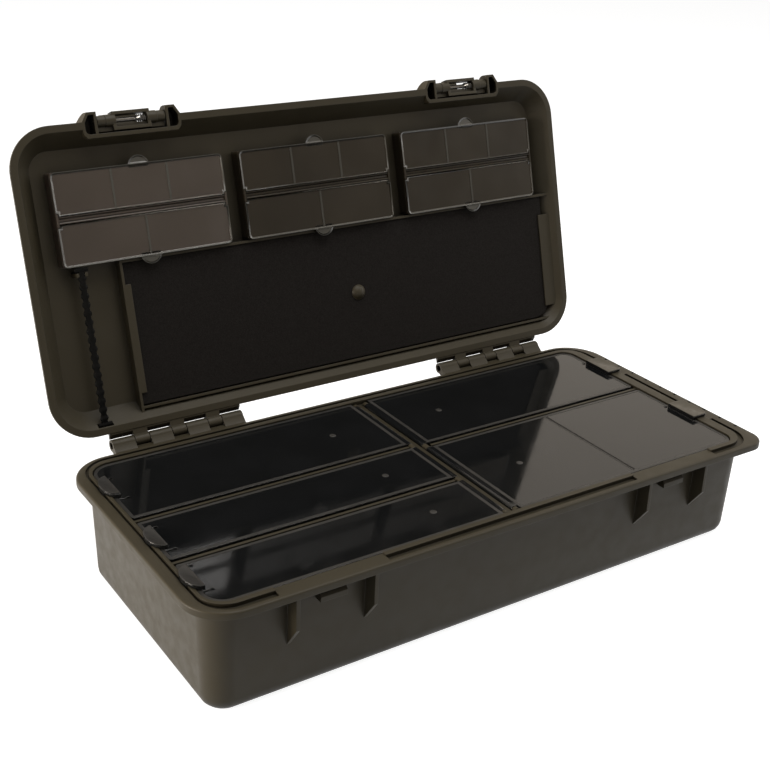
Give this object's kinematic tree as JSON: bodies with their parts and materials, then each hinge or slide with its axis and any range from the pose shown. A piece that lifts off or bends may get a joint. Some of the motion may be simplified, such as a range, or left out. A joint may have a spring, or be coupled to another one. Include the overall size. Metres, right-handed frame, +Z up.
{
  "type": "fishing tackle box",
  "caption": "Open fishing tackle box: a drafted tub with rows of hinged clear lids, and a hinged main lid that carries small bit boxes, a foam board and a beaded strip.",
  "frame": {"origin": "on the surface the tub stands on, under the middle of its footprint in X and of its flange in Y", "axes": "+X along the box's length, +Y from the latches to the hinges, +Z up"},
  "size_m": [0.368, 0.2473, 0.2409],
  "materials": {
    "olive_plastic": "satin moulded polypropylene, fine grain",
    "smoke_plastic": "smoked clear polypropylene, glossy",
    "bit_box_plastic": "frosted grey translucent plastic",
    "black_foam": "fine closed-cell EVA foam, matt",
    "black_rubber": "satin rubber",
    "pin_steel": "drawn steel wire"
  },
  "bodies": {
    "base": {"base_shell": "olive_plastic", "centre_wall": "olive_plastic", "row_wall_left_rear": "olive_plastic", "row_wall_left_front": "olive_plastic", "row_wall_right": "olive_plastic", "cell_wall_right": "olive_plastic", "clear_rod_left": "pin_steel", "clear_rod_right": "pin_steel", "hinge_pin_left": "pin_steel", "hinge_pin_right": "pin_steel"},
    "lid": {"lid_shell": "olive_plastic", "foam_board": "black_foam", "board_knob": "olive_plastic", "rig_strip": "black_rubber", "latch_pin_left": "pin_steel", "latch_pin_right": "pin_steel", "bit_tray_left": "bit_box_plastic", "bit_tray_middle": "bit_box_plastic", "bit_tray_right": "bit_box_plastic"},
    "latch_left": {"latch_lever_left": "olive_plastic", "latch_spring_left": "pin_steel"},
    "latch_right": {"latch_lever_right": "olive_plastic", "latch_spring_right": "pin_steel"},
    "clear_lid_left_rear": {"clear_lid_left_rear": "smoke_plastic"},
    "clear_lid_left_middle": {"clear_lid_left_middle": "smoke_plastic"},
    "clear_lid_left_front": {"clear_lid_left_front": "smoke_plastic"},
    "clear_lid_right_rear": {"clear_lid_right_rear": "smoke_plastic"},
    "clear_lid_right_front": {"clear_lid_right_front": "smoke_plastic"},
    "bit_lid_left_upper": {"bit_lid_left_upper": "bit_box_plastic"},
    "bit_lid_left_lower": {"bit_lid_left_lower": "bit_box_plastic"},
    "bit_lid_middle_upper": {"bit_lid_middle_upper": "bit_box_plastic"},
    "bit_lid_middle_lower": {"bit_lid_middle_lower": "bit_box_plastic"},
    "bit_lid_right_upper": {"bit_lid_right_upper": "bit_box_plastic"},
    "bit_lid_right_lower": {"bit_lid_right_lower": "bit_box_plastic"}
  },
  "joints": [
    {"name": "main_lid_hinge", "type": "hinge", "parent": "base", "child": "lid", "pos_m": [0, 0.092, 0.0655], "axis": [-1, 0, 0], "range_deg": [-105.75, 0]},
    {"name": "latch_left_hinge", "type": "hinge", "parent": "lid", "child": "latch_left", "pos_m": [-0.1125, 0.1426, 0.23461], "axis": [-1, 0, 0], "range_deg": [-188, 0]},
    {"name": "latch_right_hinge", "type": "hinge", "parent": "lid", "child": "latch_right", "pos_m": [0.1125, 0.1426, 0.23461], "axis": [-1, 0, 0], "range_deg": [-188, 0]},
    {"name": "clear_lid_left_rear_hinge", "type": "hinge", "parent": "base", "child": "clear_lid_left_rear", "pos_m": [-0.0036, 0.0431, 0.0625], "axis": [0, 1, 0], "range_deg": [0, 88]},
    {"name": "clear_lid_left_middle_hinge", "type": "hinge", "parent": "base", "child": "clear_lid_left_middle", "pos_m": [-0.0036, -0.0101, 0.0625], "axis": [0, 1, 0], "range_deg": [0, 88]},
    {"name": "clear_lid_left_front_hinge", "type": "hinge", "parent": "base", "child": "clear_lid_left_front", "pos_m": [-0.0036, -0.0532, 0.0625], "axis": [0, 1, 0], "range_deg": [0, 88]},
    {"name": "clear_lid_right_rear_hinge", "type": "hinge", "parent": "base", "child": "clear_lid_right_rear", "pos_m": [0.0036, 0.04125, 0.0625], "axis": [0, -1, 0], "range_deg": [0, 88]},
    {"name": "clear_lid_right_front_hinge", "type": "hinge", "parent": "base", "child": "clear_lid_right_front", "pos_m": [0.0036, -0.03275, 0.0625], "axis": [0, -1, 0], "range_deg": [0, 88]},
    {"name": "bit_lid_left_upper_hinge", "type": "hinge", "parent": "lid", "child": "bit_lid_left_upper", "pos_m": [-0.1126, 0.1278, 0.18912], "axis": [1, 0, 0], "range_deg": [0, 88]},
    {"name": "bit_lid_left_lower_hinge", "type": "hinge", "parent": "lid", "child": "bit_lid_left_lower", "pos_m": [-0.1126, 0.12677, 0.18547], "axis": [-1, 0, 0], "range_deg": [0, 88]},
    {"name": "bit_lid_middle_upper_hinge", "type": "hinge", "parent": "lid", "child": "bit_lid_middle_upper", "pos_m": [0, 0.1278, 0.18912], "axis": [1, 0, 0], "range_deg": [0, 88]},
    {"name": "bit_lid_middle_lower_hinge", "type": "hinge", "parent": "lid", "child": "bit_lid_middle_lower", "pos_m": [0, 0.12677, 0.18547], "axis": [-1, 0, 0], "range_deg": [0, 88]},
    {"name": "bit_lid_right_upper_hinge", "type": "hinge", "parent": "lid", "child": "bit_lid_right_upper", "pos_m": [0.1126, 0.1278, 0.18912], "axis": [1, 0, 0], "range_deg": [0, 88]},
    {"name": "bit_lid_right_lower_hinge", "type": "hinge", "parent": "lid", "child": "bit_lid_right_lower", "pos_m": [0.1126, 0.12677, 0.18547], "axis": [-1, 0, 0], "range_deg": [0, 88]}
  ]
}
